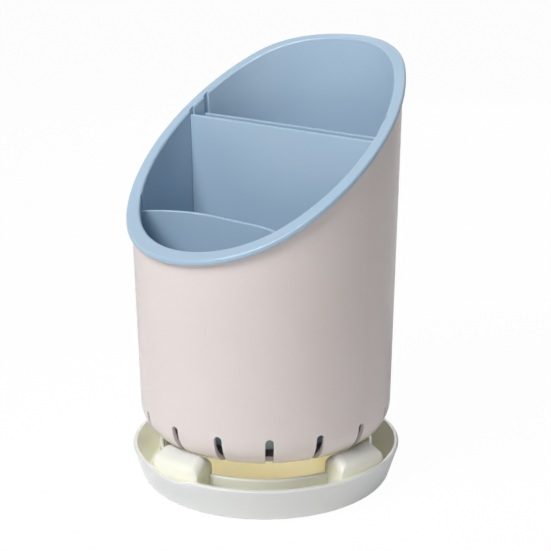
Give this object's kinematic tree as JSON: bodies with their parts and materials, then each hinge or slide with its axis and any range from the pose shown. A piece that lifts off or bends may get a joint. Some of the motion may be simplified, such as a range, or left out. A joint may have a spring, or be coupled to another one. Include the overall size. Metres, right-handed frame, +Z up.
{
  "type": "draining chopstick and cutlery holder",
  "caption": "Round upright holder with a slanted mouth: a slotted outer cup with a lift-out divided liner, standing on a drip tray that catches the water.",
  "frame": {"origin": "centre of the drip tray's foot, on the surface it stands on", "axes": "+Z up along the cup's axis; +Y towards the high side of the slanted mouth; -Y towards the low side and the tray's pouring lip"},
  "size_m": [0.1294, 0.1291, 0.207],
  "materials": {
    "tray_plastic": "glossy, faintly translucent",
    "cup_plastic": "glossy",
    "liner_plastic": "satin"
  },
  "bodies": {
    "tray": {"drip_tray": "tray_plastic"},
    "cup": {"outer_cup": "cup_plastic"},
    "liner": {"inner_liner": "liner_plastic"},
    "front_divider": {"front_divider": "liner_plastic"},
    "front_plate": {"knife_slot_front_plate": "liner_plastic"},
    "rear_plate": {"knife_slot_rear_plate": "liner_plastic"}
  },
  "joints": [
    {"name": "cup_lift", "type": "slide", "parent": "tray", "child": "cup", "axis": [0, 0, 1], "range_m": [0, 0.06]},
    {"name": "liner_lift", "type": "slide", "parent": "cup", "child": "liner", "axis": [0, 0, 1], "range_m": [0, 0.18]},
    {"name": "front_divider_lift", "type": "slide", "parent": "liner", "child": "front_divider", "axis": [0, 0, 1], "range_m": [0, 0.11]},
    {"name": "front_plate_lift", "type": "slide", "parent": "liner", "child": "front_plate", "axis": [0, 0, 1], "range_m": [0, 0.145]},
    {"name": "rear_plate_lift", "type": "slide", "parent": "liner", "child": "rear_plate", "axis": [0, 0, 1], "range_m": [0, 0.15]}
  ]
}
